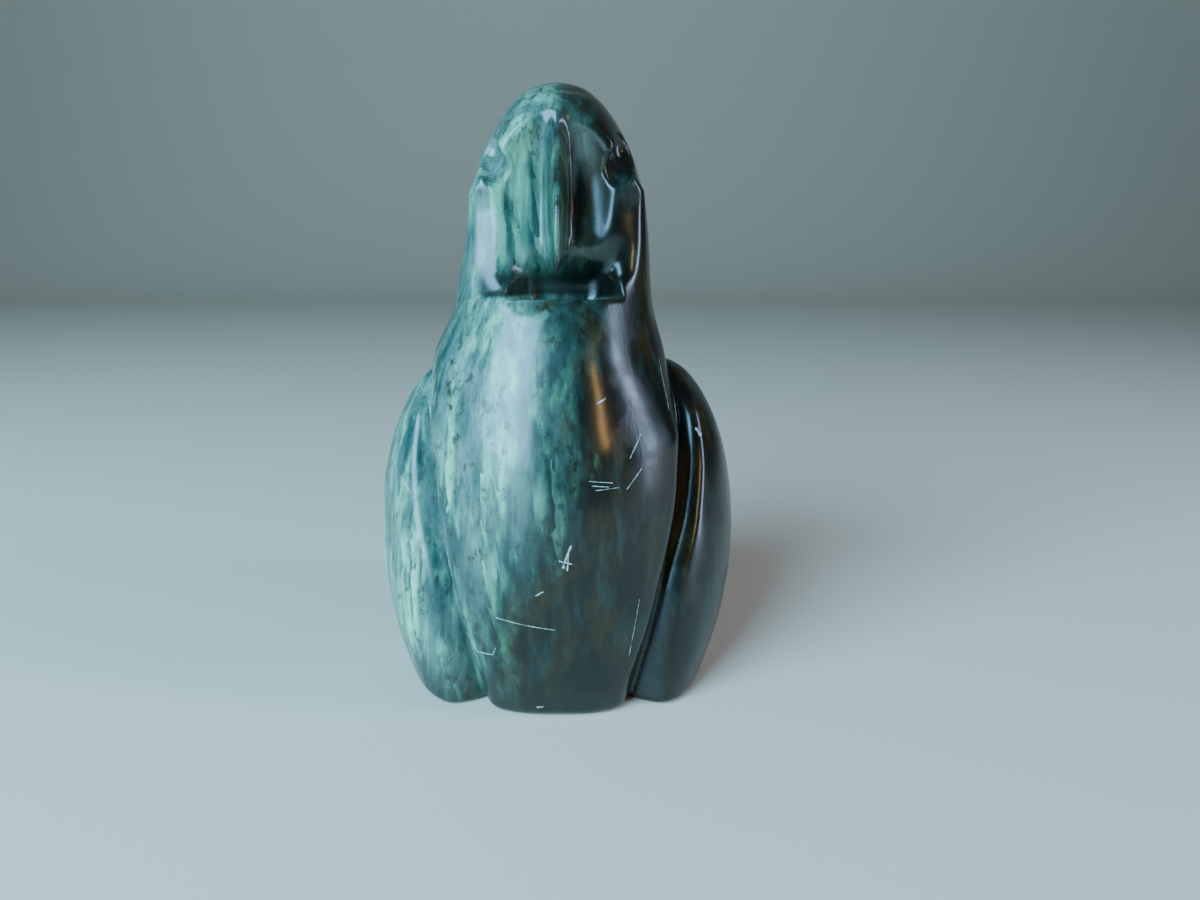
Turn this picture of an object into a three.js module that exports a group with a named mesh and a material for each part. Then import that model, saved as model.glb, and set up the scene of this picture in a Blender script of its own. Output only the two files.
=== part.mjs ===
// A bird of prey carved from one piece of green soapstone, wings folded, standing on its flat
// underside. Millimetres, +Z up; the bird faces -Y and its left wing is on +X.
//
// The carving is one implicit solid: lines drawn against height give a waisted column (back, sides
// and a front panel with a crisp edge), two wing lobes and a hooked beak are added to it, and the
// face hollows, the gutters beside the beak and the eye scoops are cut out of it. The mesh is
// found by walking out from a core line until the solid ends.
import * as THREE from 'three';

// ---- driving dimensions ----
const crownZ = 110.9; // flat underside to crown
const ledgeZ = 74.4; // upper edge of the breast, under the chin
const cheekTopZ = 91.6; // top of the cheek edges, where the brow turns in
const browZ = 106; // top of the arch of the brow
const floorRounding = 1.6; // worn edge round the underside
const panelRounding = 1.2; // polished edge between front panel and sides
const backRoundness = 2.4; // exponent of the back's oval

const wing = {
  middleZ: 27,
  halfHeight: 35,
  halfWidth: 17.4,
  centreX: 18,
  centreY: 3,
  backDepth: 25.5,
  lean: 0.28, // how fast the lobes close towards the tail
  topZ: 61.8,
  wallNormal: [-0.45, -0.89], // the front wall faces forward and in
  rounding: 1.8,
};
const beak = {
  rootY: -13,
  tipZ: 78.6,
  tipY: -27.6,
  undersideSlope: 0.34,
  topZ: 108,
  keelSharpness: 1.6, // exponent of its section: 2 is an ellipse, 1 a wedge
};
const faceHollow = { centre: [3.2, -27, 93.8], radii: [12.4, 12.4, 22], lean: 0.15, rounding: 0.7 };
const beakGutter = { centre: [3.1, -18.5, 91], radii: [2.4, 4.6, 9], lean: 0, rounding: 0.35 };
// a groove from the notch in the cheek's edge, up and back along the brow
const eye = {
  front: [10.1, -17.8, 94.5],
  back: [12.2, -12.5, 99.2],
  frontRadius: 2.4,
  backRadius: 3,
  rounding: 0.5,
};
// the cut under the beak: a shelf behind the ledge, a back wall and a rising roof
const chin = {
  lipY: -22,
  shelfSlope: 0.14, // the shelf falls inwards
  backY: -12.8,
  roofZ: 77,
  roofSlope: 1.1,
  endY: -20.5, // where the ends are measured; they close towards the core
  rightEnd: { x: -9.2, closing: 0.594 },
  leftEnd: { x: 13.2, closing: -0.85 },
  lipRounding: 0.5,
  roofRounding: 3.5,
};

// ---- mesh ----
const sideColumns = 44; // columns round one half
const ridgeColumn = 15; // the column that runs up the panel's edge
const wallColumn = 24; // the column that runs up the wing's front edge
const tailColumn = 38; // where the columns begin to close on the tail
const baseRows = [0, 0.7, 2];
const bodyRows = 19;
const headRows = 17;
const domeRows = 14;
const domeZ = 94; // above it the rays fan over the crown
const domeCrowding = 1.35; // over 1: dome rows stand closer at the eyes than at the crown
const bodyFromZ = 5;
const bodyToZ = 71;
const headFromZ = 72.6;
const bodyCoreX = 14; // the wings' rays start this far out, the head's from the middle
const headCoreY = -5;
const frontCrowding = 1.15; // over 1: the face's columns stand closer at the beak
const coreBlend = [44, 74]; // heights between which the core line moves over
const frontAngles = [0.56, 1.26]; // rays further round than this stay level
const reach = 60; // longest ray
const walkSteps = 90;
const halvings = 20;

// A smooth line through [height, value] stations that never overshoots them.
function profile(stations) {
  const z = stations.map((s) => s[0]);
  const v = stations.map((s) => s[1]);
  const step = z.slice(1).map((top, i) => top - z[i]);
  const rise = step.map((h, i) => (v[i + 1] - v[i]) / h);
  const slope = v.map((_, i) => {
    if (i === 0) return rise[0];
    if (i === v.length - 1) return rise[i - 1];
    if (rise[i - 1] * rise[i] <= 0) return 0;
    const before = 2 * step[i] + step[i - 1];
    const after = step[i] + 2 * step[i - 1];
    return (before + after) / (before / rise[i - 1] + after / rise[i]);
  });
  return (height) => {
    const h = Math.min(Math.max(height, z[0]), z[z.length - 1]);
    let i = 0;
    while (i < step.length - 1 && h > z[i + 1]) i += 1;
    const t = (h - z[i]) / step[i];
    const start = (1 + 2 * t) * (1 - t) ** 2 * v[i] + t * (1 - t) ** 2 * step[i] * slope[i];
    const end = t * t * (3 - 2 * t) * v[i + 1] + t * t * (t - 1) * step[i] * slope[i + 1];
    return start + end;
  };
}

// ---- lines of the carving, each against height ----
// centre line of breast, throat and face
const frontY = profile([[0, -27.4], [12, -30], [34, -32.6], [46, -31.6], [57, -29], [73, -23.6],
  [76, -20.4], [80, -17.8], [84, -17], [98, -16.9], [browZ, -15.6], [crownZ, -15]]);
// tail, back, nape and crown
const backY = profile([[0, 33], [12, 34.2], [35, 31.5], [60, 22.5], [80, 17], [94, 13.8],
  [105, 5], [108.5, 0.4], [crownZ, -5.6]]);
// half-width of the column and the Y where it is widest
const halfX = profile([[0, 13.5], [12, 16.4], [35, 21], [50, 22.2], [62, 20.4], [73, 17.6],
  [86, 16.5], [96.5, 14.2], [105, 9.7], [109.3, 5.4], [crownZ, 2]]);
const widestY = profile([[0, -15], [25, -12], [58, -5], [90, -3], [crownZ, -5.8]]);
// the right-hand shoulder is left fuller
const shoulderFlare = profile([[46, 0], [63, 2.7], [71, 1.5], [84, 0]]);
// edge of the front panel: breast edge, cheek edge, then the arch of the brow
const edgeX = profile([[0, 11.8], [21, 17.4], [43, 21.2], [49, 21.2], [56.5, 18.9], [68, 15.4],
  [cheekTopZ, 14.8], [94.2, 13.2], [98.2, 10.2], [102.3, 7.2], [105.6, 2.6], [browZ + 0.4, 0.5],
  [crownZ, 0.2]]);
const edgeY = profile([[0, -25], [15, -25.8], [35, -23], [50, -21], [63, -18.9], [70, -17], [76, -15],
  [88, -14.5], [98.2, -16.6], [104.3, -15.7], [browZ, -14.9], [109.5, -9.6], [crownZ, -6.4]]);
const panelPower = profile([[0, 3], [45, 2], [72, 2.3], [80, 3.6], [95, 2.8], [crownZ, 2]]);
// front edge of each wing
const wingEdgeX = profile([[0, 18.4], [22, 21.4], [35, 25], [45, 26.2], [52, 25.8], [62, 20]]);
const wingEdgeY = profile([[0, -24.4], [22, -21], [35, -16.6], [52, -9.6], [62, 0]]);
// keel of the beak and its half-width
const keelY = profile([[78.4, -27.2], [81.5, -29.5], [84.5, -30.4], [88, -30], [96, -23.9],
  [101.5, -18.2], [107, -15]]);
const beakHalf = profile([[78.4, 0.8], [81, 1.5], [84, 1.85], [90, 2.1], [97, 2.2], [107, 1.7]]);

// ---- the solid: each function is negative inside and about a distance near its surface ----
function cut(a, b, rounding) {
  const near = Math.max(rounding - Math.abs(a - b), 0) / rounding;
  return Math.max(a, b) + (near * near * rounding) / 4;
}

function join(a, b, rounding) {
  return -cut(-a, -b, rounding);
}

function ease(value, from, to) {
  const t = Math.min(Math.max((value - from) / (to - from), 0), 1);
  return t * t * (3 - 2 * t);
}

function ellipsoid({ centre, radii, lean }, x, y, z) {
  const across = x - centre[0] + lean * (z - centre[2]);
  const q = Math.hypot(across / radii[0], (y - centre[1]) / radii[1], (z - centre[2]) / radii[2]);
  return (q - 1) * Math.min(...radii);
}

function column(x, y, z) {
  const side = Math.abs(x);
  const flare = x < 0 ? shoulderFlare(z) * Math.min(side / 8, 1) : 0;
  const width = halfX(z) + flare;
  const edge = edgeX(z) + flare;
  const middle = widestY(z);
  const inBrow = z > 95;
  const panelX = inBrow ? Math.max(edge, 9 + 2 * Math.max(z - 103, 0)) : edge;
  const panelY = inBrow ? Math.min(edgeY(z), -15) : edgeY(z);
  const sweep = panelY - frontY(z);
  const power = panelPower(z);
  const slope = Math.min((sweep * power * (side / panelX) ** (power - 1)) / panelX, 6);
  const panel = (frontY(z) + sweep * (side / panelX) ** power - y) / Math.hypot(1, slope);
  if (y > middle) {
    const depth = backY(z) - middle;
    const oval = (side / width) ** backRoundness + ((y - middle) / depth) ** backRoundness;
    const back = (oval ** (1 / backRoundness) - 1) * Math.min(width, depth);
    return cut(panel, back, panelRounding);
  }
  const share = Math.sqrt(Math.max(1 - (edge / width) ** 2, 0.02));
  const depth = Math.max(middle - edgeY(z), 0.3) / share;
  const flank = (Math.hypot(side / width, (middle - y) / depth) - 1) * Math.min(width, depth);
  return cut(panel, flank, panelRounding);
}

function wingLobe(x, y, z) {
  const side = Math.abs(x);
  const swell = Math.sqrt(Math.max(1 - ((z - wing.middleZ) / wing.halfHeight) ** 2, 1e-4));
  const width = wing.halfWidth * swell;
  const edge = [wingEdgeX(z), wingEdgeY(z)];
  const share = Math.sqrt(Math.max(1 - ((edge[0] - wing.centreX) / width) ** 2, 0.16));
  const front = (wing.centreY - edge[1]) / share;
  const depth = y < wing.centreY ? front : wing.backDepth * Math.max(swell, 0.2) ** 0.7;
  const centreX = wing.centreX - wing.lean * Math.max(y - wing.centreY, 0);
  const oval = Math.hypot((side - centreX) / width, (y - wing.centreY) / depth);
  const lobe = cut((oval - 1) * Math.min(width, depth), (z - wing.topZ) * 0.9, 3);
  const wall = wing.wallNormal[0] * (side - edge[0]) + wing.wallNormal[1] * (y - edge[1]);
  return cut(lobe, wall, wing.rounding);
}

function hookedBeak(x, y, z) {
  const half = beakHalf(z);
  const depth = beak.rootY - keelY(z);
  const power = beak.keelSharpness;
  const section = (Math.abs(x) / half) ** power + (Math.max(beak.rootY - y, 0) / depth) ** power;
  const blade = cut((section ** (1 / power) - 1) * half, y - beak.rootY, 0.5);
  const underside = beak.tipZ + beak.undersideSlope * (y - beak.tipY) - z;
  return cut(cut(blade, underside, 0.7), z - beak.topZ, 1);
}

function eyeGroove(x, y, z) {
  const run = eye.back.map((v, i) => v - eye.front[i]);
  const rel = [x, y, z].map((v, i) => v - eye.front[i]);
  const along = rel[0] * run[0] + rel[1] * run[1] + rel[2] * run[2];
  const t = Math.min(Math.max(along / (run[0] ** 2 + run[1] ** 2 + run[2] ** 2), 0), 1);
  const radius = eye.frontRadius + t * (eye.backRadius - eye.frontRadius);
  return Math.hypot(...rel.map((v, i) => v - t * run[i])) - radius;
}

function chinCut(x, y, z) {
  const shelf = ledgeZ - chin.shelfSlope * (y - chin.lipY) - z;
  const rise = chin.roofZ + chin.roofSlope * (chin.backY - y);
  const roof = (z - rise) / Math.hypot(1, chin.roofSlope);
  let slot = cut(cut(shelf, roof, 0.8), y - chin.backY, 0.8);
  for (const [end, hand] of [[chin.rightEnd, -1], [chin.leftEnd, 1]]) {
    const wall = x - end.x - end.closing * (y - chin.endY);
    slot = cut(slot, (hand * wall) / Math.hypot(1, end.closing), 1.5);
  }
  return slot;
}

function carving(x, y, z) {
  const side = Math.abs(x);
  let stone = column(x, y, z);
  for (const hollow of [faceHollow, beakGutter]) {
    stone = cut(stone, -ellipsoid(hollow, side, y, z), hollow.rounding);
  }
  stone = cut(stone, -eyeGroove(side, y, z), eye.rounding);
  const chinRounding = chin.lipRounding + (chin.roofRounding - chin.lipRounding) * ease(z, 75.5, 79);
  stone = cut(stone, -chinCut(x, y, z), chinRounding);
  stone = join(stone, hookedBeak(x, y, z), 0.4 + 1.4 * ease(z, 96, browZ));
  stone = join(stone, wingLobe(x, y, z), 0.9);
  stone = cut(stone, z - crownZ, 2);
  return cut(stone, -z, floorRounding);
}

// ---- rays: out from the core line, level round the body, fanned over the crown ----
// They tip up to see the ledge of the breast and down to see behind the tip of the beak.
const tip = profile([[58, 0], [70, 0.1], [74, 0.22], [76.5, 0], [78.3, -0.3], [80, -0.32],
  [86, -0.16], [domeZ, 0]]);
const tipPivot = 22; // distance from the core at which a tipped ray keeps its height

function between(u, knots) {
  let i = 0;
  while (i < knots.length - 2 && u > knots[i + 1][0]) i += 1;
  const t = (u - knots[i][0]) / (knots[i + 1][0] - knots[i][0]);
  return knots[i][1] + t * (knots[i + 1][1] - knots[i][1]);
}

function ray(columnIndex, hand, z, climb) {
  const head = ease(z, ...coreBlend);
  const flare = hand < 0 ? shoulderFlare(z) : 0;
  const coreY = wing.centreY * (1 - head) + headCoreY * head;
  const edgeZ = Math.min(z, cheekTopZ);
  const ridge = Math.atan2(edgeX(edgeZ) + flare, coreY - edgeY(edgeZ));
  const wall = Math.atan2(wingEdgeX(z) - bodyCoreX, wing.centreY - wingEdgeY(z));
  const bodyAngle = between(columnIndex, [[0, 0], [ridgeColumn, ridge], [wallColumn, wall],
    [tailColumn, Math.PI], [sideColumns, Math.PI]]);
  const headAngle = columnIndex < ridgeColumn
    ? ridge * (columnIndex / ridgeColumn) ** frontCrowding
    : between(columnIndex, [[ridgeColumn, ridge], [wallColumn, ridge + 0.5], [sideColumns, Math.PI]]);
  const angle = bodyAngle * (1 - head) + headAngle * head;
  const offset = between(columnIndex, [[0, 0], [ridgeColumn, 0], [wallColumn, bodyCoreX],
    [tailColumn, bodyCoreX], [sideColumns, 0]]) * (1 - head);
  const lift = tip(z) * (1 - ease(angle, ...frontAngles));
  const rise = climb > 0 ? Math.sin(climb) : lift;
  const run = climb > 0 ? Math.cos(climb) : 1;
  const start = new THREE.Vector3(hand * offset, coreY, climb > 0 ? z : z - tipPivot * lift);
  const way = new THREE.Vector3(hand * Math.sin(angle) * run, -Math.cos(angle) * run, rise);
  return { start, way: way.normalize() };
}

function surfacePoint({ start, way }) {
  const at = (distance) => start.clone().addScaledVector(way, distance);
  const outside = (p) => carving(p.x, p.y, p.z) > 0;
  const stride = reach / walkSteps;
  let far = stride;
  while (far < reach && !outside(at(far))) far += stride;
  let near = far - stride;
  for (let i = 0; i < halvings; i += 1) {
    const middle = (near + far) / 2;
    if (outside(at(middle))) far = middle;
    else near = middle;
  }
  return at((near + far) / 2);
}

// How far the middle of a straight edge strays from the carving: creases keep the better diagonal.
function offSurface(p, q) {
  return Math.abs(carving((p.x + q.x) / 2, (p.y + q.y) / 2, (p.z + q.z) / 2));
}

function carvedGeometry() {
  const rows = baseRows.map((z) => [z, 0]);
  for (let i = 0; i < bodyRows; i += 1) {
    rows.push([bodyFromZ + ((bodyToZ - bodyFromZ) * i) / (bodyRows - 1), 0]);
  }
  for (let i = 0; i < headRows; i += 1) {
    rows.push([headFromZ + ((domeZ - headFromZ) * i) / (headRows - 1), 0]);
  }
  for (let i = 1; i <= domeRows; i += 1) {
    rows.push([domeZ, ((i / (domeRows + 1)) ** domeCrowding * Math.PI) / 2]);
  }
  const around = 2 * sideColumns;
  const points = [];
  for (const [z, climb] of rows) {
    for (let i = 0; i < around; i += 1) {
      const left = i > sideColumns;
      points.push(surfacePoint(ray(left ? around - i : i, left ? -1 : 1, z, climb)));
    }
  }
  const bottom = points.push(new THREE.Vector3(0, wing.centreY, 0)) - 1;
  const crown = points.push(surfacePoint(ray(0, 1, domeZ, Math.PI / 2))) - 1;
  const faces = [];
  for (let i = 0; i < around; i += 1) {
    const next = (i + 1) % around;
    faces.push(bottom, next, i);
    for (let row = 0; row < rows.length - 1; row += 1) {
      const low = row * around;
      const high = low + around;
      const [a, b, c, d] = [low + i, low + next, high + next, high + i];
      const alongAC = offSurface(points[a], points[c]) < offSurface(points[b], points[d]);
      faces.push(...(alongAC ? [a, b, c, a, c, d] : [a, b, d, b, c, d]));
    }
    const last = (rows.length - 1) * around;
    faces.push(last + i, last + next, crown);
  }
  for (let i = 0; i < around; i += 1) points[i].z = 0;
  const geometry = new THREE.BufferGeometry().setFromPoints(points);
  geometry.setIndex(faces);
  geometry.computeVertexNormals();
  geometry.computeBoundingBox();
  return geometry;
}

const soapstone = new THREE.MeshStandardMaterial({ color: 0x3c5a4e, roughness: 0.28, metalness: 0 });
const bird = new THREE.Mesh(carvedGeometry(), soapstone);
bird.name = 'bird_carving';
const middleOfBird = bird.geometry.boundingBox.getCenter(new THREE.Vector3());
bird.position.set(-middleOfBird.x, -middleOfBird.y, 0); // the origin is under the middle of the bird

const group = new THREE.Group();
group.add(bird);
export default group;
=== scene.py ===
# A bird of prey carved from one piece of green soapstone, on a pale sweep in soft window light.
import math

import bpy
import numpy as np
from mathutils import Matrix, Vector, noise


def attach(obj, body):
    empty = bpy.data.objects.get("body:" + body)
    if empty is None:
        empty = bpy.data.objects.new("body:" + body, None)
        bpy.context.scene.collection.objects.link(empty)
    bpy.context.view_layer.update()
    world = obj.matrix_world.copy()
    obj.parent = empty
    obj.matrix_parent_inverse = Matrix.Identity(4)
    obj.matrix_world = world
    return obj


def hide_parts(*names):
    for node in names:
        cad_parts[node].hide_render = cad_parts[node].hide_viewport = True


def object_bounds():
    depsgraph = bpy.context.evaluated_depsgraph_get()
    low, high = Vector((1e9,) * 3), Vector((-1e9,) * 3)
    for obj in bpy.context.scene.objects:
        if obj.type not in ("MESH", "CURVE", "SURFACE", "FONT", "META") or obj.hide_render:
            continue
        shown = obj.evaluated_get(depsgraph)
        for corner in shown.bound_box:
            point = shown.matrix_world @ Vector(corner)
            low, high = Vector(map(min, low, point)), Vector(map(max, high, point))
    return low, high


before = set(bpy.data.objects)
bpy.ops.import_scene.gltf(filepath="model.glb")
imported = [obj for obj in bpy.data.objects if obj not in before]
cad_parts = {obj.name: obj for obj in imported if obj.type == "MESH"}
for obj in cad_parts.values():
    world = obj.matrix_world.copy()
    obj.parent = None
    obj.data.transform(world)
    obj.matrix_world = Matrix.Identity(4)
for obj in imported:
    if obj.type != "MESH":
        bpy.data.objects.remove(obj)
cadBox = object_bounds()
mm = 0.001
print("frame loaded, box", [[round(v, 4) for v in corner] for corner in cadBox])

camera = {
    "distance": 0.1748,  # lens in front of the middle of the bird
    "height": 0.0863,  # lens over the floor
    "tiltDown": 14,  # degrees
    "lens": 27.03,
    "sensor": 36,
    "shiftX": 0.0358,  # the bird stands a little left of the middle of the frame
}


def deselectAll():
    if bpy.context.object and bpy.context.object.mode != "OBJECT":
        bpy.ops.object.mode_set(mode="OBJECT")
    bpy.ops.object.select_all(action="DESELECT")


def makeActive(piece):
    deselectAll()
    piece.select_set(True)
    bpy.context.view_layer.objects.active = piece


def applyModifier(piece, kind, **settings):
    makeActive(piece)
    modifier = piece.modifiers.new(kind.title(), kind)
    for name, value in settings.items():
        setattr(modifier, name, value)
    bpy.ops.object.modifier_apply(modifier=modifier.name)


def placeCamera():
    deselectAll()
    bpy.ops.object.camera_add(
        location=(0, -camera["distance"], camera["height"]),
        rotation=(math.radians(90 - camera["tiltDown"]), 0, 0),
    )
    lens = bpy.context.object
    lens.name = "camera"
    lens.data.lens = camera["lens"]
    lens.data.sensor_width = camera["sensor"]
    lens.data.shift_x = camera["shiftX"]
    lens.data.clip_start = 0.01
    bpy.context.scene.camera = lens


placeCamera()
print("camera placed")

# The bird's lines in mm, each [height, value]. They are the solid's own lines, so that the fine
# stone keeps its form; what is finer than the solid comes from "finish" below.
bird = {
    "crownZ": 110.9,
    "crownRounding": 2,
    "floorRounding": 1.6,  # worn edge round the underside
    "panelRounding": 1.2,  # polished edge between front panel and sides
    "backRoundness": 2.4,  # exponent of the back's oval
    "flareHalf": 8,  # the shoulder's flare is full from this X outwards
    "browFromZ": 95,  # over it the panel is kept wide and shallow
    "browHalf": 9,
    "browY": -15,
    "archZ": 103,
    "archSpread": 2,
    "steepest": 6,
    "leastShare": 0.02,  # these two keep the flanks from closing up where the panel is as wide
    "leastDepth": 0.3,
    # centre line of breast, throat and face
    "frontY": [[0, -27.4], [12, -30], [34, -32.6], [46, -31.6], [57, -29], [73, -23.6], [76, -20.4],
               [80, -17.8], [84, -17], [98, -16.9], [106, -15.6], [110.9, -15]],
    "backY": [[0, 33], [12, 34.2], [35, 31.5], [60, 22.5], [80, 17], [94, 13.8], [105, 5],
              [108.5, 0.4], [110.9, -5.6]],
    # half-width of the body and the Y where it is widest
    "halfX": [[0, 13.5], [12, 16.4], [35, 21], [50, 22.2], [62, 20.4], [73, 17.6], [86, 16.5],
              [96.5, 14.2], [105, 9.7], [109.3, 5.4], [110.9, 2]],
    "widestY": [[0, -15], [25, -12], [58, -5], [90, -3], [110.9, -5.8]],
    # the right-hand shoulder is left fuller
    "shoulderFlare": [[46, 0], [63, 2.7], [71, 1.5], [84, 0]],
    # edge of the front panel: breast edge, cheek edge, then the arch of the brow
    "edgeX": [[0, 11.8], [21, 17.4], [43, 21.2], [49, 21.2], [56.5, 18.9], [68, 15.4], [91.6, 14.8],
              [94.2, 13.2], [98.2, 10.2], [102.3, 7.2], [105.6, 2.6], [106.4, 0.5], [110.9, 0.2]],
    "edgeY": [[0, -25], [15, -25.8], [35, -23], [50, -21], [63, -18.9], [70, -17], [76, -15], [88, -14.5],
              [98.2, -16.6], [104.3, -15.7], [106, -14.9], [109.5, -9.6], [110.9, -6.4]],
    "panelPower": [[0, 3], [45, 2], [72, 2.3], [80, 3.6], [95, 2.8], [110.9, 2]],
    # front edge of each wing
    "wingEdgeX": [[0, 18.4], [22, 21.4], [35, 25], [45, 26.2], [52, 25.8], [62, 20]],
    "wingEdgeY": [[0, -24.4], [22, -21], [35, -16.6], [52, -9.6], [62, 0]],
    # keel of the beak and its half-width
    "keelY": [[78.4, -27.2], [81.5, -29.5], [84.5, -30.4], [88, -30], [96, -23.9], [101.5, -18.2],
              [107, -15]],
    "beakHalf": [[78.4, 0.8], [81, 1.5], [84, 1.85], [90, 2.1], [97, 2.2], [107, 1.7]],
}
wing = {
    "middleZ": 27,
    "halfHeight": 35,
    "halfWidth": 17.4,
    "centreX": 18,
    "centreY": 3,
    "backDepth": 25.5,
    "lean": 0.28,
    "leastSwell": 0.2,
    "leastShare": 0.16,
    "backFullness": 0.7,
    "topZ": 61.8,
    "topSlope": 0.9,
    "topRounding": 3,
    "wallNormal": (-0.45, -0.89),  # the front wall faces forward and in
    "rounding": 1.8,
    "joinRounding": 0.9,
}
beak = {
    "rootY": -13,
    "tipZ": 78.6,
    "tipY": -27.6,
    "undersideSlope": 0.34,
    "topZ": 108,
    "keel": 1.6,  # exponent of its section: 2 is an ellipse, 1 a wedge
    "rootRounding": 0.5,
    "tipRounding": 0.7,
    "topRounding": 1,
    "joinRounding": (0.4, 1.8),  # crisp beside the beak, soft where it runs into the brow
    "joinZ": (96, 106),
}
hollows = [
    {"centre": (3.2, -27, 93.8), "radii": (12.4, 12.4, 22), "lean": 0.15, "rounding": 0.7},  # face
    {"centre": (3.1, -18.5, 91), "radii": (2.4, 4.6, 9), "lean": 0, "rounding": 0.35},  # gutter
]
eye = {
    "from": (10.1, -17.8, 94.5),
    "to": (12.2, -12.5, 99.2),
    "fromRadius": 2.4,
    "toRadius": 3,
    "rounding": 0.5,
}
chin = {
    "lipZ": 74.4,
    "lipY": -22,
    "shelfSlope": 0.14,  # the shelf falls inwards
    "backY": -12.8,
    "roofZ": 77,  # where the roof meets the back wall
    "roofSlope": 1.1,
    "endY": -20.5,  # where the ends are measured; they close towards the core
    "ends": [(-9.2, 0.594, -1), (13.2, -0.85, 1)],  # X, closing, hand
    "innerRounding": 0.8,
    "endRounding": 1.5,
    "rounding": (0.5, 3.5),  # crisp at the lip, soft under the roof
    "roundingZ": (75.5, 79),
}
finish = {
    "offset": (0, -0.8, 0),  # mm, from the carving's own lines to the solid's place
    "roughVoxel": 0.9,
    "voxel": 0.42,
    "passes": 3,
    "steps": 3,  # walks to the surface after each smoothing
    "smoothing": 0.5,
    "leastSlope": 0.25,
    "longestMove": 0.7,
    "triangles": 190000,
    "fileWaves": 0.09,  # low swells that hand filing leaves under the polish
    "fileWaveLength": 9,
}
tiny = 1e-12


# A smooth line through [height, value] stations that never overshoots them.
def profile(stations):
    z = np.array([s[0] for s in stations], float)
    v = np.array([s[1] for s in stations], float)
    step = np.diff(z)
    rise = np.diff(v) / step
    slope = np.zeros(len(z))
    slope[0] = rise[0]
    slope[-1] = rise[-1]
    for i in range(1, len(z) - 1):
        if rise[i - 1] * rise[i] > 0:
            before = 2 * step[i] + step[i - 1]
            after = step[i] + 2 * step[i - 1]
            slope[i] = (before + after) / (before / rise[i - 1] + after / rise[i])

    def at(height):
        h = np.clip(height, z[0], z[-1])
        i = np.clip(np.searchsorted(z, h) - 1, 0, len(step) - 1)
        t = (h - z[i]) / step[i]
        start = (1 + 2 * t) * (1 - t) ** 2 * v[i] + t * (1 - t) ** 2 * step[i] * slope[i]
        end = t * t * (3 - 2 * t) * v[i + 1] + t * t * (t - 1) * step[i] * slope[i + 1]
        return start + end

    return at


line = {name: profile(value) for name, value in bird.items() if isinstance(value, list)}


# Negative inside the stone and about a distance near its surface; cut keeps what is in both.
def cut(a, b, rounding):
    near = np.maximum(rounding - np.abs(a - b), 0) / rounding
    return np.maximum(a, b) + near * near * rounding / 4


def join(a, b, rounding):
    return -cut(-a, -b, rounding)


# Goes gently from one value to another between two heights.
def ease(z, heights, values):
    t = np.clip((z - heights[0]) / (heights[1] - heights[0]), 0, 1)
    return values[0] + (values[1] - values[0]) * t * t * (3 - 2 * t)


def column(x, y, z):
    side = np.abs(x)
    flare = np.where(x < 0, line["shoulderFlare"](z), 0) * np.minimum(side / bird["flareHalf"], 1)
    width = line["halfX"](z) + flare
    edge = line["edgeX"](z) + flare
    middle = line["widestY"](z)
    edgeY = line["edgeY"](z)
    frontY = line["frontY"](z)
    power = line["panelPower"](z)
    inBrow = z > bird["browFromZ"]
    browHalf = bird["browHalf"] + bird["archSpread"] * np.maximum(z - bird["archZ"], 0)
    panelX = np.where(inBrow, np.maximum(edge, browHalf), edge)
    panelY = np.where(inBrow, np.minimum(edgeY, bird["browY"]), edgeY)
    sweep = panelY - frontY
    slope = np.minimum(sweep * power * (side / panelX) ** (power - 1) / panelX, bird["steepest"])
    panel = (frontY + sweep * (side / panelX) ** power - y) / np.hypot(1, slope)
    backDepth = line["backY"](z) - middle
    rounded = bird["backRoundness"]
    oval = (side / width) ** rounded + (np.maximum(y - middle, 0) / backDepth) ** rounded + tiny
    back = (oval ** (1 / rounded) - 1) * np.minimum(width, backDepth)
    share = np.sqrt(np.maximum(1 - (edge / width) ** 2, bird["leastShare"]))
    depth = np.maximum(middle - edgeY, bird["leastDepth"]) / share
    flank = (np.hypot(side / width, np.maximum(middle - y, 0) / depth) - 1) * np.minimum(width, depth)
    return cut(panel, np.where(y > middle, back, flank), bird["panelRounding"])


def wingLobe(x, y, z):
    side = np.abs(x)
    swell = np.sqrt(np.maximum(1 - ((z - wing["middleZ"]) / wing["halfHeight"]) ** 2, 1e-4))
    width = wing["halfWidth"] * swell
    edgeX = line["wingEdgeX"](z)
    edgeY = line["wingEdgeY"](z)
    out = (edgeX - wing["centreX"]) / width
    share = np.sqrt(np.maximum(1 - out ** 2, wing["leastShare"]))
    front = (wing["centreY"] - edgeY) / share
    back = wing["backDepth"] * np.maximum(swell, wing["leastSwell"]) ** wing["backFullness"]
    depth = np.where(y < wing["centreY"], front, back)
    centreX = wing["centreX"] - wing["lean"] * np.maximum(y - wing["centreY"], 0)
    oval = np.hypot((side - centreX) / width, (y - wing["centreY"]) / depth)
    top = (z - wing["topZ"]) * wing["topSlope"]
    lobe = cut((oval - 1) * np.minimum(width, depth), top, wing["topRounding"])
    wall = wing["wallNormal"][0] * (side - edgeX) + wing["wallNormal"][1] * (y - edgeY)
    return cut(lobe, wall, wing["rounding"])


def hookedBeak(x, y, z):
    half = line["beakHalf"](z)
    depth = beak["rootY"] - line["keelY"](z)
    power = beak["keel"]
    section = (np.abs(x) / half) ** power + (np.maximum(beak["rootY"] - y, 0) / depth) ** power
    blade = ((section + tiny) ** (1 / power) - 1) * half
    blade = cut(blade, y - beak["rootY"], beak["rootRounding"])
    underside = beak["tipZ"] + beak["undersideSlope"] * (y - beak["tipY"]) - z
    return cut(cut(blade, underside, beak["tipRounding"]), z - beak["topZ"], beak["topRounding"])


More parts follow.
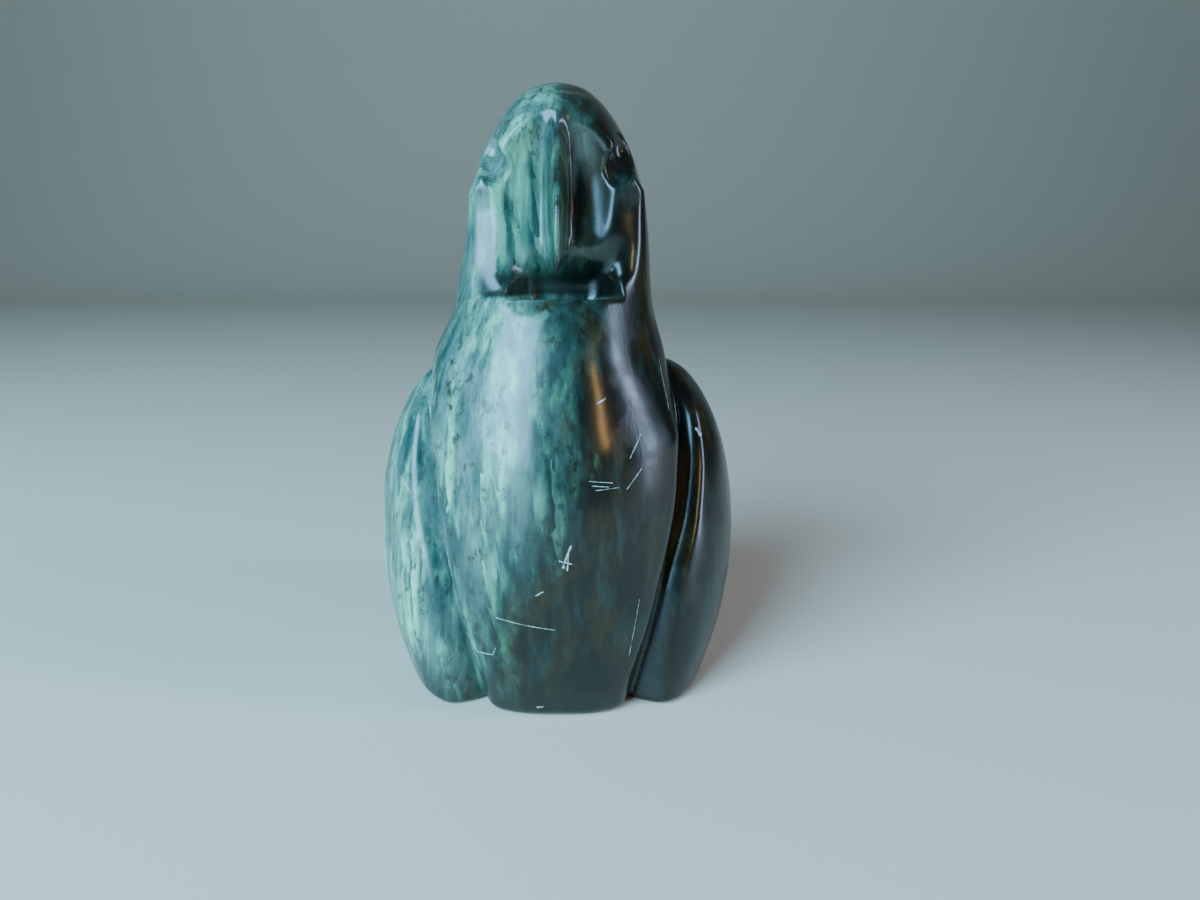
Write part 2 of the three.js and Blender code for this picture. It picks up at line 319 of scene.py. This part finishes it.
def eyeGroove(side, y, z):
    start = np.array(eye["from"])
    run = np.array(eye["to"]) - start
    along = (side - start[0]) * run[0] + (y - start[1]) * run[1] + (z - start[2]) * run[2]
    t = np.clip(along / (run @ run), 0, 1)
    x0, y0, z0 = (start[i] + t * run[i] for i in range(3))
    radius = eye["fromRadius"] + t * (eye["toRadius"] - eye["fromRadius"])
    return np.sqrt((side - x0) ** 2 + (y - y0) ** 2 + (z - z0) ** 2) - radius


def chinCut(x, y, z):
    shelf = chin["lipZ"] - chin["shelfSlope"] * (y - chin["lipY"]) - z
    rise = chin["roofZ"] + chin["roofSlope"] * (chin["backY"] - y)
    roof = (z - rise) / math.hypot(1, chin["roofSlope"])
    slot = cut(cut(shelf, roof, chin["innerRounding"]), y - chin["backY"], chin["innerRounding"])
    for end, closing, hand in chin["ends"]:
        wall = x - end - closing * (y - chin["endY"])
        slot = cut(slot, hand * wall / math.hypot(1, closing), chin["endRounding"])
    return slot


def carving(x, y, z):
    side = np.abs(x)
    stone = column(x, y, z)
    for hollow in hollows:
        cx, cy, cz = hollow["centre"]
        rx, ry, rz = hollow["radii"]
        across = side - cx + hollow["lean"] * (z - cz)
        reach = np.sqrt((across / rx) ** 2 + ((y - cy) / ry) ** 2 + ((z - cz) / rz) ** 2)
        stone = cut(stone, (1 - reach) * min(rx, ry, rz), hollow["rounding"])
    stone = cut(stone, -eyeGroove(side, y, z), eye["rounding"])
    stone = cut(stone, -chinCut(x, y, z), ease(z, chin["roundingZ"], chin["rounding"]))
    stone = join(stone, hookedBeak(x, y, z), ease(z, beak["joinZ"], beak["joinRounding"]))
    stone = join(stone, wingLobe(x, y, z), wing["joinRounding"])
    stone = cut(stone, z - bird["crownZ"], bird["crownRounding"])
    return cut(stone, -z, bird["floorRounding"])


def readPoints(piece):
    points = np.empty(len(piece.data.vertices) * 3)
    piece.data.vertices.foreach_get("co", points)
    return points.reshape(-1, 3)


def writePoints(piece, points):
    piece.data.vertices.foreach_set("co", points.ravel())
    piece.data.update()


# Walks every vertex straight to the carved surface.
def settle(piece, steps):
    offset = np.array(finish["offset"])
    p = readPoints(piece) / mm - offset
    nudge = 0.01
    for _ in range(steps):
        gaps = [carving(*(p + d).T) - carving(*(p - d).T) for d in np.eye(3) * nudge]
        slope = np.stack(gaps, 1) / (2 * nudge)
        steep = np.maximum((slope ** 2).sum(1), finish["leastSlope"])
        move = -(carving(*p.T) / steep)[:, None] * slope
        length = np.maximum(np.linalg.norm(move, axis=1), tiny)
        p += move * np.minimum(finish["longestMove"] / length, 1)[:, None]
    writePoints(piece, (p + offset) * mm)


def makeBird():
    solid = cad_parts["bird_carving"]
    piece = bpy.data.objects.new("birdStone", solid.data.copy())
    bpy.context.collection.objects.link(piece)
    piece.data.materials.clear()
    makeActive(piece)
    bpy.ops.object.mode_set(mode="EDIT")
    bpy.ops.mesh.select_all(action="SELECT")
    bpy.ops.mesh.remove_doubles(threshold=1e-6)
    bpy.ops.object.mode_set(mode="OBJECT")
    # a rough skin is carved first, so that the fine one starts from the true form
    for voxel in (finish["roughVoxel"], finish["voxel"]):
        applyModifier(piece, "REMESH", mode="VOXEL", voxel_size=voxel * mm, adaptivity=0)
        for _ in range(finish["passes"]):
            settle(piece, finish["steps"])
            applyModifier(piece, "SMOOTH", factor=finish["smoothing"], iterations=2)
        settle(piece, finish["steps"])
    triangles = sum(len(f.vertices) - 2 for f in piece.data.polygons)
    if triangles > finish["triangles"]:
        applyModifier(piece, "DECIMATE", ratio=finish["triangles"] / triangles)
        settle(piece, 2)
    p = readPoints(piece)
    normals = np.empty_like(p)
    piece.data.vertices.foreach_get("normal", normals.reshape(-1))
    waves = [noise.noise(Vector(at) / (finish["fileWaveLength"] * mm)) for at in p]
    p += normals * np.array(waves)[:, None] * finish["fileWaves"] * mm
    # the waves are taken up, so that the bird keeps the solid's box
    low, high = np.array(cadBox)
    writePoints(piece, low + (p - p.min(0)) / (p.max(0) - p.min(0)) * (high - low))
    makeActive(piece)
    bpy.ops.object.shade_smooth()
    return piece


birdStone = makeBird()
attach(birdStone, "root")
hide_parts("bird_carving")
print("bird carved,", len(birdStone.data.polygons), "faces")


# Waxed soapstone: dark green serpentine streaked with translucent mint sheets that stand upright and
# end in small steps; filed, sanded and polished by hand, so that it shines softly over fine scratches.
stone = {
    "dark": "#0a100c",  # body of the stone on the bird's left
    "olive": "#33290f",  # warmer clouds in it
    "teal": "#28504b",  # body of the stone on the bird's right
    "grey": "#648579",
    "mint": "#83c9a2",
    "paleMint": "#a4f0c4",
    "blotch": "#131c13",
    "brown": "#3f3318",
    "foot": "#221d12",  # browner towards the underside
    "scratch": "#cfe6df",
    "ior": 1.56,
    "roughness": 0.16,
    "glossDrift": 0.1,  # how much duller the polish gets in places
    "filedDull": 0.12,
}
# All in mm. The pale side fades in over "palePlace" in X, and the dark side reaches over at the foot.
layout = {
    "palePlace": (9.0, -12.0),
    "paleDrift": 30.0,
    "lowerDark": 15.0,
    "lowerDarkZ": (48.0, 14.0),
    "sheetGap": 3.1,
    "sheetNormal": (0.86, -0.5, 0.05),
    "sheetBend": 7.0,
    "stepHeight": 8.0,
    "sheetsFullZ": (64.0, 46.0),
    "footZ": (17.0, 6.0),
    # where the painted shade lies in the cut under the beak
    "paintedShadeZ": (74.1, 74.9),  # the cut under the beak, from its lip up
    "paintedShadeTopZ": (82.0, 77.5),
    "paintedShadeX": (14.6, 12.5),
    "paintedShadeY": (-6.0, -9.0),
    "fileMark": 0.5,  # the real marks are 0.3 mm apart, too fine to show
    "fileMarkLength": 6.25,
    "fileMarkDepth": 0.03,
    "scratchDepth": 0.04,
    "scratchY": (-4, -8),  # scratches are kept to the front
    "sheetLimitDrift": 16,
    "footDrift": 10,
}
fileMarkTurn = 38  # degrees from upright
# How the patterns are put together: shares, and the pairs of values between which each fades in.
mixing = {
    "stepDrift": 2.6,  # steps by which a sheet's steps wander
    "stepWidth": 0.3,  # part of a sheet's gap that one step takes
    "sheetLuck": 0.3,  # how much the sheets differ from each other
    "sheetPatches": (0.62, 0.82),
    "sheetEdges": (0.97, 0.25),
    "highSheets": 0.3,  # share of the sheets left over "sheetsFullZ"
    "sheets": 0.95,
    "streakGroups": 0.5,
    "streakEdges": (0.74, 0.94),
    "streaks": 0.75,
    "foot": 0.7,
    # share of the painted shade in the cut under the beak
    "paintedShade": 0.85,
    "scratchWaver": 1.6,  # in widths of the scratch, as the next one
    "scratchEdges": (1.5, 0.8),
    "scratches": 0.8,
    "filedOnPale": 0.06,
    "filedEdges": (0.52, 0.64),
}
# Patterns: size in mm, how far it is drawn out upright, detail, roughness and shift of the noise; then,
# where it fades in, from which value to which, and its least and greatest share.
patterns = {
    "sheetBend": (13, 2.4, 2, 0.5, 0),
    "sheetSteps": (4, 2.2, 2, 0.5, 7),
    "sheetPatches": (8, 2.8, 3, 0.6, 3),
    "sheetLimit": (10, 1, 2, 0.5, 9),
    "paleLimit": (10, 2.2, 6, 0.65, 0),
    "greyClouds": (5, 3.2, 6, 0.62, 11, 0.36, 0.64, 0, 1),
    "streaks": (2.6, 6, 5, 0.6, 17),
    "streakGroups": (11, 1.6, 2, 0.5, 8),
    "smudges": (5.5, 1.5, 6, 0.7, 25, 0.55, 0.7, 0, 0.7),
    "speckGroups": (12, 1.3, 2, 0.5, 81, 0.42, 0.58, 0.15, 1),
    "specks": (1.9, 1.4, 5, 0.7, 21, 0.54, 0.64, 0, 0.75),
    "oliveClouds": (7, 2.5, 5, 0.65, 5, 0.45, 0.7, 0, 1),
    "darkVeins": (3.2, 4, 5, 0.65, 13, 0.48, 0.72, 0, 0.4),
    "fibres": (0.8, 9, 3, 0.6, 31, 0.35, 0.8, 0, 0.4),
    "footLimit": (5, 1, 3, 0.5, 2),
    # drifting top edge of the painted shade under the beak
    "paintedShadeLimit": (3, 1, 3, 0.5, 71),
    "scratchWaver": (0.7, 1, 2, 0.5, 41),
    "filedPatches": (9, 1.3, 3, 0.5, 51),
    "glossDrift": (4, 1, 4, 0.6, 61),
}
# Each scratch in mm as X and Z of both ends, seen from the front, and its width.
scratches = [
    [-10.6, 20.4, -0.4, 18.7, 0.13],
    [-16.2, 15.6, -14.2, 12.4, 0.14],
    [-14.2, 12.4, -11.4, 12.6, 0.2],
    [-11.4, 12.6, -10.8, 14.2, 0.14],
    [5.4, 45.3, 9.2, 44.7, 0.12],
    [5.8, 44.5, 8.6, 44.1, 0.12],
    [6.4, 43.7, 10.2, 43.8, 0.1],
    [12.2, 48.4, 14.2, 52.2, 0.16],
    [11.8, 43.4, 14.3, 46.4, 0.16],
    [1.0, 30.8, 2.3, 34.6, 0.34],
    [0.4, 31.9, 2.4, 31.3, 0.26],
    [1.7, 30.2, 1.9, 33.0, 0.2],
    [6.6, 57.7, 8.0, 58.4, 0.26],
    [-3.6, 25.4, -2.4, 26.2, 0.22],
    [-3.6, 2.1, -2.6, 2.3, 0.3],
    [25.9, 49.6, 26.6, 48.6, 0.5],
    [-29.2, 40.6, -27.0, 38.4, 0.2],
    [18.0, 63.5, 19.6, 55.0, 0.1],
    [12.8, 12.0, 14.4, 23.0, 0.08],
]
smooth = {"interpolation_type": "SMOOTHSTEP"}


def toLinear(hexColour):
    channels = [int(hexColour[i:i + 2], 16) / 255 for i in (1, 3, 5)]
    return [c / 12.92 if c <= 0.04045 else ((c + 0.055) / 1.055) ** 2.4 for c in channels] + [1]


# Adds a node with its settings. Inputs go by number or name, and one that is a socket is linked.
def addNode(tree, kind, inputs, out=0, **settings):
    node = tree.nodes.new("ShaderNode" + kind)
    for name, value in settings.items():
        setattr(node, name, value)
    for key, value in inputs.items() if isinstance(inputs, dict) else enumerate(inputs):
        if isinstance(value, bpy.types.NodeSocket):
            tree.links.new(value, node.inputs[key])
        else:
            node.inputs[key].default_value = value
    return node.outputs[out]


def growPatterns(tree, place):
    grown = {}
    for name, (size, stretch, detail, rough, shift, *fade) in patterns.items():
        scale = (1 / size, 1 / size, 1 / size / stretch)
        drawnOut = addNode(tree, "Mapping", {"Vector": place, "Scale": scale, "Location": (shift, 0, shift)})
        cloud = {"Vector": drawnOut, "Scale": 1, "Detail": detail, "Roughness": rough}
        grown[name] = addNode(tree, "TexNoise", cloud)
        if fade:
            grown[name] = addNode(tree, "MapRange", [grown[name], *fade], **smooth)
    return grown


# Lays one colour of the stone after another over a first one, each with its share.
def layColours(tree, colour, layers):
    for share, name in layers:
        colour = addNode(tree, "Mix", {0: share, 6: colour, 7: toLinear(stone[name])}, 2, data_type="RGBA")
    return colour


# A saw-tooth across the sheets, crisp on one side, broken into steps up the bird and only in patches.
def mintSheets(tree, place, z, grown):
    across = addNode(tree, "VectorMath", [place, layout["sheetNormal"]], 1, operation="DOT_PRODUCT")
    wide = layout["sheetBend"]
    bend = addNode(tree, "Math", [grown["sheetBend"], wide, -wide / 2], operation="MULTIPLY_ADD")
    bent = addNode(tree, "Math", [across, bend], operation="ADD")
    count = addNode(tree, "Math", [bent, layout["sheetGap"]], operation="DIVIDE")
    up = addNode(tree, "Math", [z, layout["stepHeight"]], operation="DIVIDE")
    up = addNode(tree, "Math", [grown["sheetSteps"], mixing["stepDrift"], up], operation="MULTIPLY_ADD")
    step = addNode(tree, "Math", [up], operation="FRACT")
    count = addNode(tree, "Math", [step, mixing["stepWidth"], count], operation="MULTIPLY_ADD")
    tooth = addNode(tree, "Math", [count], operation="FRACT")
    which = addNode(tree, "Math", [count], operation="FLOOR")
    luck = addNode(tree, "TexWhiteNoise", {"W": which}, noise_dimensions="1D")
    patch = [luck, mixing["sheetLuck"], grown["sheetPatches"]]
    patch = addNode(tree, "Math", patch, operation="MULTIPLY_ADD")
    height = [grown["sheetLimit"], layout["sheetLimitDrift"], z]
    height = addNode(tree, "Math", height, operation="MULTIPLY_ADD")
    share = addNode(tree, "MapRange", [tooth, *mixing["sheetEdges"], 0, mixing["sheets"]], **smooth)
    patch = addNode(tree, "MapRange", [patch, *mixing["sheetPatches"], 0, 1], **smooth)
    height = [height, *layout["sheetsFullZ"], mixing["highSheets"], 1]
    height = addNode(tree, "MapRange", height, **smooth)
    share = addNode(tree, "Math", [share, patch], operation="MULTIPLY")
    return addNode(tree, "Math", [share, height], operation="MULTIPLY")


# How much of the pale body shows: on the bird's right, with a drifting edge that leans over at the foot.
def paleSide(tree, x, z, grown):
    wide = layout["paleDrift"]
    drift = addNode(tree, "Math", [grown["paleLimit"], wide, -wide / 2], operation="MULTIPLY_ADD")
    over = addNode(tree, "MapRange", [z, *layout["lowerDarkZ"], 0, layout["lowerDark"]], **smooth)
    place = addNode(tree, "Math", [x, drift], operation="ADD")
    place = addNode(tree, "Math", [place, over], operation="ADD")
    return addNode(tree, "MapRange", [place, *layout["palePlace"], 0, 1], **smooth)


# Painted shade that darkens the cut under the beak, where shadow falls in the recess.
def paintShadeInCut(tree, x, y, z, grown):
    side = addNode(tree, "Math", [x], operation="ABSOLUTE")
    top = addNode(tree, "Math", [z, grown["paintedShadeLimit"]], operation="ADD")
    share = mixing["paintedShade"]
    for value, place in ((y, "paintedShadeY"), (side, "paintedShadeX"), (z, "paintedShadeZ"), (top, "paintedShadeTopZ")):
        within = addNode(tree, "MapRange", [value, *layout[place], 0, 1], **smooth)
        share = addNode(tree, "Math", [share, within], operation="MULTIPLY")
    return share


def scratchLines(tree, x, y, z, grown):
    flat = addNode(tree, "CombineXYZ", {0: x, 2: z})
    worn = 0
    for x0, z0, x1, z1, width in scratches:
        length = math.hypot(x1 - x0, z1 - z0)
        way = ((x1 - x0) / length, 0, (z1 - z0) / length)
        rel = addNode(tree, "VectorMath", [flat, (x0, 0, z0)], operation="SUBTRACT")
        along = addNode(tree, "VectorMath", [rel, way], 1, operation="DOT_PRODUCT")
        along = addNode(tree, "Math", [along, 0], operation="MAXIMUM")
        along = addNode(tree, "Math", [along, length], operation="MINIMUM")
        onLine = addNode(tree, "VectorMath", {0: way, 3: along}, operation="SCALE")
        away = addNode(tree, "VectorMath", [rel, onLine], 1, operation="DISTANCE")
        away = [grown["scratchWaver"], width * mixing["scratchWaver"], away]
        away = addNode(tree, "Math", away, operation="MULTIPLY_ADD")
        outer, inner = (width * share for share in mixing["scratchEdges"])
        near = addNode(tree, "MapRange", [away, outer, inner, 0, 1], **smooth)
        worn = addNode(tree, "Math", [near, worn], operation="MAXIMUM")
    front = addNode(tree, "MapRange", [y, *layout["scratchY"], 0, mixing["scratches"]], **smooth)
    return addNode(tree, "Math", [worn, front], operation="MULTIPLY")


def makeStone():
    soapstone = bpy.data.materials.new("polished soapstone")
    soapstone.use_nodes = True
    tree = soapstone.node_tree
    shader = tree.nodes["Principled BSDF"]
    place = addNode(tree, "TexCoord", {}, "Object")
    place = addNode(tree, "Mapping", {"Vector": place, "Scale": (1 / mm, 1 / mm, 1 / mm)})
    x, y, z = (addNode(tree, "SeparateXYZ", [place], axis) for axis in range(3))
    grown = growPatterns(tree, place)

    streaks = [grown["streakGroups"], mixing["streakGroups"], grown["streaks"]]
    streaks = addNode(tree, "Math", streaks, operation="MULTIPLY_ADD")
    streaks = [streaks, *mixing["streakEdges"], 0, mixing["streaks"]]
    streaks = addNode(tree, "MapRange", streaks, **smooth)
    specks = addNode(tree, "Math", [grown["specks"], grown["speckGroups"]], operation="MULTIPLY")
    body = layColours(tree, toLinear(stone["teal"]), [
        (grown["greyClouds"], "grey"),
        (streaks, "mint"),
        (mintSheets(tree, place, z, grown), "paleMint"),
        (grown["smudges"], "blotch"),
        (specks, "brown"),
    ])
    shade = layColours(tree, toLinear(stone["dark"]), [
        (grown["oliveClouds"], "olive"),
        (grown["darkVeins"], "teal"),
    ])
    pale = paleSide(tree, x, z, grown)
    colour = addNode(tree, "Mix", {0: pale, 6: shade, 7: body}, 2, data_type="RGBA")
    foot = addNode(tree, "Math", [grown["footLimit"], layout["footDrift"], z], operation="MULTIPLY_ADD")
    foot = addNode(tree, "MapRange", [foot, *layout["footZ"], 0, mixing["foot"]], **smooth)
    worn = scratchLines(tree, x, y, z, grown)
    colour = layColours(tree, colour, [
        (grown["fibres"], "dark"),
        (foot, "foot"),
        # painted shade in the cut under the beak
        (paintShadeInCut(tree, x, y, z, grown), "dark"),
        (worn, "scratch"),
    ])
    tree.links.new(colour, shader.inputs["Base Color"])

    # file marks left under the polish in patches, more on the pale side
    fine = 1 / layout["fileMark"]
    across = addNode(tree, "Mapping", {
        "Vector": place,
        "Rotation": (0, math.radians(fileMarkTurn), 0),
        "Scale": (fine, fine, 1 / layout["fileMarkLength"]),
    })
    marks = addNode(tree, "TexNoise", {"Vector": across, "Scale": 1, "Detail": 2})
    filed = [pale, mixing["filedOnPale"], grown["filedPatches"]]
    filed = addNode(tree, "Math", filed, operation="MULTIPLY_ADD")
    filed = addNode(tree, "MapRange", [filed, *mixing["filedEdges"], 0, 1], **smooth)
    height = addNode(tree, "Math", [marks, filed], operation="MULTIPLY")
    height = addNode(tree, "Math", [height, layout["fileMarkDepth"] * mm], operation="MULTIPLY")
    height = addNode(tree, "Math", [worn, -layout["scratchDepth"] * mm, height], operation="MULTIPLY_ADD")
    relief = addNode(tree, "Bump", {"Height": height, "Strength": 1, "Distance": 1})
    tree.links.new(relief, shader.inputs["Normal"])
    gloss = [grown["glossDrift"], stone["glossDrift"], stone["roughness"]]
    gloss = addNode(tree, "Math", gloss, operation="MULTIPLY_ADD")
    gloss = addNode(tree, "Math", [filed, stone["filedDull"], gloss], operation="MULTIPLY_ADD")
    tree.links.new(gloss, shader.inputs["Roughness"])
    shader.inputs["IOR"].default_value = stone["ior"]
    return soapstone


birdStone.data.materials.append(makeStone())
print("stone coloured")

# The stage in metres: a pale sheet of paper that bends up behind the bird.
stage = {
    "width": 3,
    "height": 2,
    "bend": 0.6,
    "paper": "#f4e2cc",
    "paperRoughness": 0.8,
    "air": "#aab2b6",
    "airStrength": 0.16,
}
aim = (0, 0, 0.06)
# Name, place, aim, width and height in metres, power and colour.
lights = [
    ("window", (-0.44, -0.5, 0.36), aim, (0.48, 0.6), 20, "#8ccbf2"),
    ("far window", (0.56, -0.16, 0.24), (0, 0, 0.07), (0.07, 0.5), 2.2, "#c4dcff"),
    ("lamp", (0.36, -0.42, 0.2), aim, (0.03, 0.12), 0.25, "#ffcf8a"),
]


def makeStage():
    deselectAll()
    bpy.ops.mesh.primitive_plane_add(size=stage["width"], location=(0, 0, 0))
    floor = bpy.context.object
    floor.name = "floorSweep"
    bpy.ops.object.mode_set(mode="EDIT")
    bpy.ops.mesh.select_mode(type="EDGE")
    bpy.ops.mesh.select_all(action="DESELECT")
    bpy.ops.object.mode_set(mode="OBJECT")
    for side in floor.data.edges:  # the far edge
        side.select = all(floor.data.vertices[v].co.y > 0 for v in side.vertices)
    bpy.ops.object.mode_set(mode="EDIT")
    bpy.ops.mesh.extrude_region_move(TRANSFORM_OT_translate={"value": (0, 0, stage["height"])})
    bpy.ops.object.mode_set(mode="OBJECT")
    applyModifier(floor, "BEVEL", width=stage["bend"], segments=16, limit_method="ANGLE")
    makeActive(floor)
    bpy.ops.object.shade_smooth()
    # uncoated paper: matt, so it only shows the bird's shadow
    paper = bpy.data.materials.new("matt paper")
    paper.use_nodes = True
    surface = paper.node_tree.nodes["Principled BSDF"]
    surface.inputs["Base Color"].default_value = toLinear(stage["paper"])
    surface.inputs["Roughness"].default_value = stage["paperRoughness"]
    floor.data.materials.append(paper)
    world = bpy.data.worlds.new("studio")
    bpy.context.scene.world = world
    world.use_nodes = True
    air = world.node_tree.nodes["Background"]
    air.inputs["Color"].default_value = toLinear(stage["air"])
    air.inputs["Strength"].default_value = stage["airStrength"]


def addLight(name, place, towards, size, power, colour):
    deselectAll()
    bpy.ops.object.light_add(type="AREA", location=place)
    lamp = bpy.context.object
    lamp.name = name
    lamp.rotation_euler = (Vector(towards) - Vector(place)).to_track_quat("-Z", "Y").to_euler()
    lamp.data.shape = "RECTANGLE"
    lamp.data.size, lamp.data.size_y = size
    lamp.data.energy = power
    lamp.data.color = toLinear(colour)[:3]


makeStage()
for light in lights:
    addLight(*light)
print("light set")
